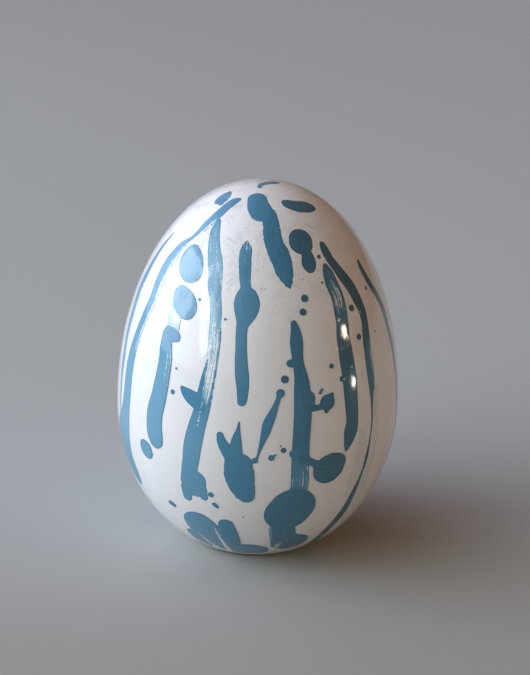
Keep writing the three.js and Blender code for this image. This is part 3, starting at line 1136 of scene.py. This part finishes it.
# Each glow of the room: azimuth and elevation in degrees, and radiance.
ROOM_GLOWS = [
    (-100, 16, (1.90, 2.12, 2.90)),
    (-50, 15, (1.00, 0.98, 0.80)),
    (180, 35, (0.19, 0.09, 0.03)),
    (75, 15, (0.21, 0.06, 0.0))]


def add_world(studio):
    """A dim room with a bright, cool left side, as from a white wall beside the window."""
    graph = Graph(bpy.data.worlds.new("room"))
    direction = graph.node("TexCoord", output="Generated")
    light = studio.ambient
    for glow in ROOM_GLOWS:
        light = graph.vectors("ADD", room_glow(graph, direction, *glow), light)
    graph.output(graph.node("Background", {"Color": light}), "World")
    bpy.context.scene.world = graph.owner


def add_camera(studio):
    """The camera on the front's upright plane, looking slightly down, a little rolled."""
    data = bpy.data.cameras.new("camera")
    data.lens = studio.lens
    data.clip_start, data.clip_end = 0.01, 20
    camera = bpy.data.objects.new("camera", data)
    bpy.context.scene.collection.objects.link(camera)
    back = toward(0, math.degrees(studio.elevation))
    facing = back.to_track_quat("Z", "Y").to_matrix()
    rolled = Matrix.Rotation(studio.roll, 3, back) @ facing
    aim = Vector((studio.aim_right, 0, studio.aim_height))
    camera.matrix_world = Matrix.Translation(aim + back * studio.distance) @ rolled.to_4x4()
    bpy.context.scene.camera = camera


FLOOR_HALF = 3


def add_floor(studio):
    """A plain square floor in the plane that the egg stands on."""
    bm = bmesh.new()
    bmesh.ops.create_grid(bm, x_segments=24, y_segments=24, size=FLOOR_HALF, matrix=Matrix.Identity(4))
    mesh = bpy.data.meshes.new("floor")
    bm.to_mesh(mesh)
    bm.free()
    floor = bpy.data.objects.new("floor", mesh)
    bpy.context.scene.collection.objects.link(floor)
    floor_material(floor, studio)


# Operators and panel.


class EGG_OT_ceramic_body(bpy.types.Operator):
    """Add the glazed ceramic egg"""

    bl_idname = "egg.ceramic_body"
    bl_label = "Ceramic body"

    def execute(self, context):
        piece = add_piece("glazed_egg", ceramic_shell(context.scene.egg_shape))
        glaze_material(piece, context.scene.egg_brushwork)
        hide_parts("ceramic_body")
        return {"FINISHED"}


class EGG_OT_vent_stopper(bpy.types.Operator):
    """Add the soft stopper in the drain hole"""

    bl_idname = "egg.vent_stopper"
    bl_label = "Vent stopper"

    def execute(self, context):
        piece = add_piece("rubber_stopper", stopper_shell(context.scene.egg_shape))
        rubber_material(piece)
        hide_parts("vent_stopper")
        return {"FINISHED"}


class EGG_OT_felt_ring(bpy.types.Operator):
    """Add the felt ring that the egg stands on"""

    bl_idname = "egg.felt_ring"
    bl_label = "Felt ring"

    def execute(self, context):
        piece = add_piece("felt_foot", felt_shell())
        felt_material(piece)
        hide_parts("felt_ring")
        return {"FINISHED"}


class EGG_OT_front_brushwork(bpy.types.Operator):
    """Add the blue strokes, blobs and drops of the front and sides"""

    bl_idname = "egg.front_brushwork"
    bl_label = "Front brushwork"

    def execute(self, context):
        shape, look = context.scene.egg_shape, context.scene.egg_brushwork
        groups = {**left_marks(), **left_front_marks(), **middle_marks(), **right_marks(), **low_marks()}
        for name, marks in groups.items():
            paint_material(film_piece(name, [marks], shape, look, look.grid_step), look)
        paint_material(film_piece("front_splatter", front_splatter(), shape, look, look.dot_step), look)
        return {"FINISHED"}


class EGG_OT_back_brushwork(bpy.types.Operator):
    """Add the blue strokes and drops of the side away from the front"""

    bl_idname = "egg.back_brushwork"
    bl_label = "Back brushwork"

    def execute(self, context):
        shape, look = context.scene.egg_shape, context.scene.egg_brushwork
        for name, marks in back_marks().items():
            paint_material(film_piece(name, [marks], shape, look, look.grid_step), look)
        paint_material(film_piece("back_splatter", back_splatter(), shape, look, look.dot_step), look)
        return {"FINISHED"}


class EGG_OT_studio(bpy.types.Operator):
    """Add the floor, the lights and the camera"""

    bl_idname = "egg.studio"
    bl_label = "Studio"

    def execute(self, context):
        studio = context.scene.egg_studio
        add_floor(studio)
        add_lights(studio)
        add_world(studio)
        add_camera(studio)
        context.scene.view_settings.view_transform = "Standard"
        return {"FINISHED"}


OPERATORS = (
    EGG_OT_ceramic_body, EGG_OT_vent_stopper, EGG_OT_felt_ring, EGG_OT_front_brushwork,
    EGG_OT_back_brushwork, EGG_OT_studio)


class EGG_PT_panel(bpy.types.Panel):
    """Buttons and settings for the painted egg"""

    bl_label = "Painted egg"
    bl_space_type = "VIEW_3D"
    bl_region_type = "UI"
    bl_category = "Painted egg"

    def draw(self, context):
        for operator in OPERATORS:
            self.layout.operator(operator.bl_idname)
        for settings_name, group in SETTINGS.items():
            box = self.layout.box()
            for property_name in group.__annotations__:
                box.prop(getattr(context.scene, settings_name), property_name)


CLASSES = (*SETTINGS.values(), *OPERATORS, EGG_PT_panel)


def register():
    for each in CLASSES:
        bpy.utils.register_class(each)
    for name, group in SETTINGS.items():
        setattr(bpy.types.Scene, name, PointerProperty(type=group))


def unregister():
    for name in SETTINGS:
        delattr(bpy.types.Scene, name)
    for each in reversed(CLASSES):
        bpy.utils.unregister_class(each)


def main():
    register()
    for operator in OPERATORS:
        family, name = operator.bl_idname.split(".")
        getattr(getattr(bpy.ops, family), name)()


if __name__ == "__main__":
    main()
